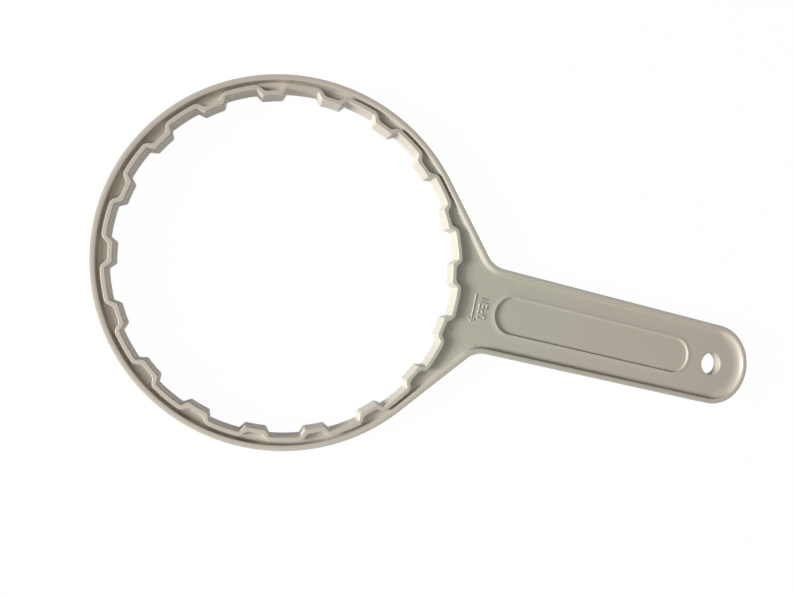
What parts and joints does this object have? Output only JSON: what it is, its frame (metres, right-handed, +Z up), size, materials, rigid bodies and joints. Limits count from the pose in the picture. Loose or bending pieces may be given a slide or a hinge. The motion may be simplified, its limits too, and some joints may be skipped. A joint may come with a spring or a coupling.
{
  "type": "filter housing wrench",
  "caption": "Flat moulded wrench with an internally toothed ring and a straight rimmed handle with a hanging hole, for turning the bowl of a water filter housing.",
  "frame": {"origin": "centre of the toothed ring, on the surface the wrench lies on", "axes": "+X along the handle to its rounded end, +Z up, square to the ring"},
  "size_m": [0.2745, 0.138, 0.008],
  "materials": {
    "plastic": "warm grey moulded plastic, satin"
  },
  "bodies": {
    "root": {"wrench": "plastic"}
  },
  "joints": []
}
